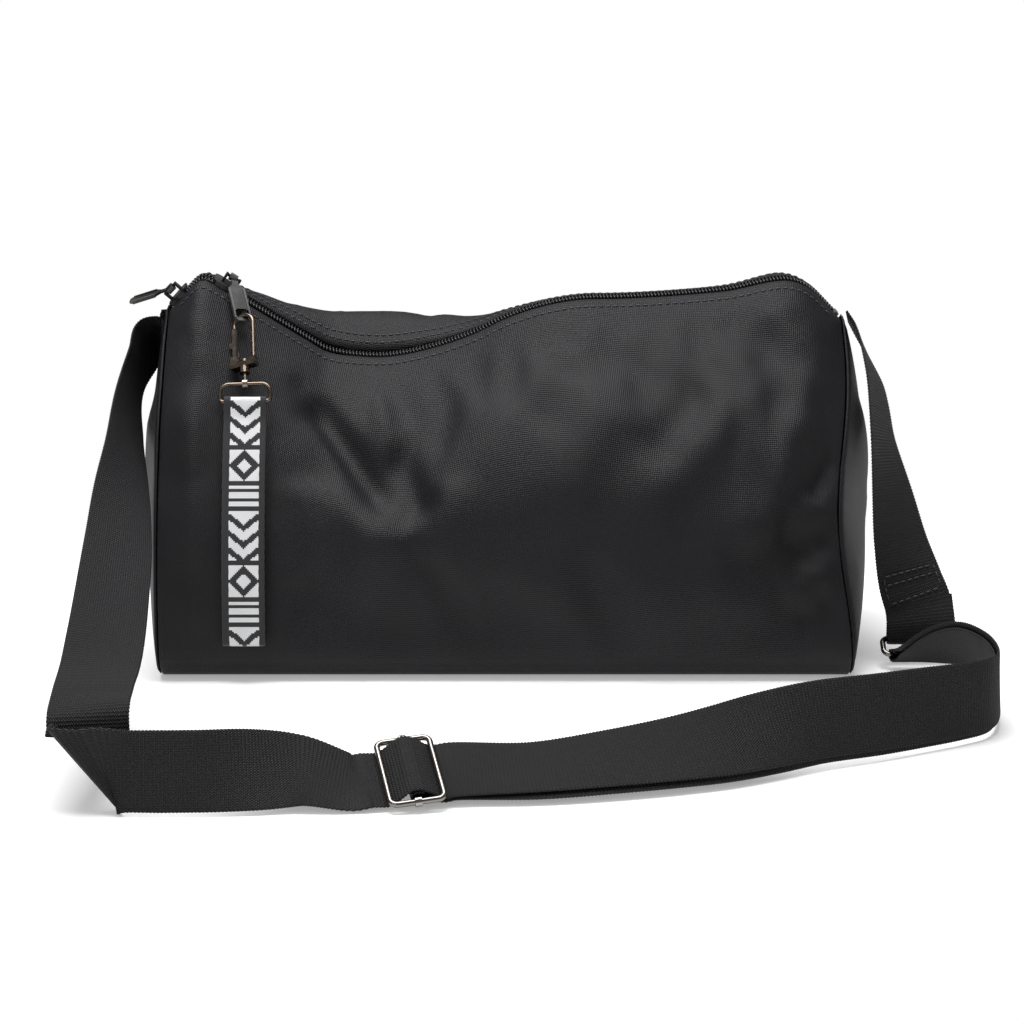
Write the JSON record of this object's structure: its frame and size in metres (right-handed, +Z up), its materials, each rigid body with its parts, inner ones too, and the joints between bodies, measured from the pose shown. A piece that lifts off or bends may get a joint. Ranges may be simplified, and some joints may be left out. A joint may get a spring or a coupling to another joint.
{
  "type": "duffel bag",
  "caption": "Small black tunnel duffel bag with a top zip, a snap-hook key tag on the puller and a long adjustable webbing shoulder strap.",
  "frame": {"origin": "middle of the flat base, on the surface that the bag stands on", "axes": "+X along the bag towards its right end as seen from the front, -Y towards the front, +Z up"},
  "size_m": [0.4691, 0.3996, 0.2135],
  "materials": {
    "bag_cloth": "woven nylon with a soft sheen",
    "lining_cloth": "plain woven polyester",
    "webbing": "ribbed polypropylene webbing",
    "zip_tape": "knitted zip tape",
    "zip_coil": "satin nylon coil",
    "dark_slider_metal": "black enamel with worn bright edges",
    "black_puller_metal": "black enamel with bright rails",
    "gunmetal": "polished gunmetal plating",
    "tag_webbing": "woven black and white jacquard"
  },
  "bodies": {
    "bag": {"main_panel": "bag_cloth", "end_panel_left": "bag_cloth", "end_panel_right": "bag_cloth", "lining": "lining_cloth", "seam_binding_left": "webbing", "seam_binding_right": "webbing", "zip_tape_front": "zip_tape", "zip_tape_rear": "zip_tape", "zip_coil_front": "zip_coil", "zip_coil_rear": "zip_coil", "zip_end_stops": "dark_slider_metal", "shoulder_strap": "webbing", "short_strap": "webbing"},
    "main_slider": {"main_slider": "dark_slider_metal"},
    "main_puller": {"main_puller": "black_puller_metal"},
    "snap_hook": {"snap_hook": "gunmetal", "gate_pin": "gunmetal", "gate_spring": "gunmetal"},
    "hook_gate": {"hook_gate": "gunmetal"},
    "hook_swivel": {"hook_swivel": "gunmetal"},
    "tag_ring": {"tag_ring": "gunmetal"},
    "tag": {"tag_webbing": "tag_webbing"},
    "end_slider": {"end_slider": "dark_slider_metal"},
    "end_puller": {"end_puller": "black_puller_metal"},
    "strap_ring": {"strap_ring": "gunmetal"},
    "adjuster": {"adjuster_frame": "gunmetal"},
    "centre_bar": {"adjuster_bar": "gunmetal"}
  },
  "joints": [
    {"name": "main_slider_travel", "type": "slide", "parent": "bag", "child": "main_slider", "axis": [0.8387, 0.1132, -0.5327], "range_m": [0, 0.054], "deforming": ["zip_coil_front", "zip_coil_rear", "tag_webbing"]},
    {"name": "main_puller_lift", "type": "hinge", "parent": "main_slider", "child": "main_puller", "pos_m": [-0.15177, -0.00906, 0.20999], "axis": [-0.8387, -0.1132, 0.5327], "range_deg": [0, 150]},
    {"name": "snap_hook_swing", "type": "hinge", "parent": "main_puller", "child": "snap_hook", "pos_m": [-0.14427, -0.03106, 0.18947], "axis": [-0.9118, -0.3995, 0.0951], "range_deg": [0, 55]},
    {"name": "gate_open", "type": "hinge", "parent": "snap_hook", "child": "hook_gate", "pos_m": [-0.14773, -0.04431, 0.16803], "axis": [0.4057, 0.7467, -0.5271], "range_deg": [0, 22], "stiffness_Nm_per_rad": 0.02, "springref_deg": -8.59, "deforming": ["gate_spring"]},
    {"name": "swivel_turn", "type": "hinge", "parent": "snap_hook", "child": "hook_swivel", "pos_m": [-0.14148, -0.05507, 0.1576], "axis": [0.0698, -0.6003, -0.7967], "range_deg": [-12, 3]},
    {"name": "tag_ring_swing", "type": "hinge", "parent": "hook_swivel", "child": "tag_ring", "pos_m": [-0.14148, -0.05507, 0.1576], "axis": [-0.9994, -0.0174, -0.0302], "range_deg": [0, 60]},
    {"name": "tag_swing", "type": "hinge", "parent": "tag_ring", "child": "tag", "pos_m": [-0.14113, -0.06007, 0.14895], "axis": [-0.9994, -0.0174, -0.0302], "range_deg": [0, 80]},
    {"name": "end_slider_travel", "type": "slide", "parent": "bag", "child": "end_slider", "axis": [0.682, -0.1521, 0.7154], "range_m": [0, 0.003], "deforming": ["zip_coil_front", "zip_coil_rear"]},
    {"name": "end_puller_turn", "type": "hinge", "parent": "end_slider", "child": "end_puller", "pos_m": [-0.187, -0.00774, 0.20379], "axis": [0.682, -0.1521, 0.7154], "range_deg": [-25, 25]},
    {"name": "strap_ring_swing", "type": "hinge", "parent": "bag", "child": "strap_ring", "pos_m": [0.2295, -0.05382, 0.01486], "axis": [1, 0, 0], "range_deg": [-15, 25], "deforming": ["shoulder_strap"]},
    {"name": "adjuster_travel", "type": "slide", "parent": "bag", "child": "adjuster", "axis": [0.9781, 0.1899, 0.0846], "range_m": [-0.02, 0.04], "deforming": ["shoulder_strap"]},
    {"name": "centre_bar_travel", "type": "slide", "parent": "adjuster", "child": "centre_bar", "axis": [0.9781, 0.1899, 0.0846], "range_m": [-0.005, 0.005], "deforming": ["shoulder_strap"]}
  ],
  "couplings": [
    {"joint": "snap_hook_swing", "follows": "main_slider_travel", "rad_per_m": 9.5}
  ]
}
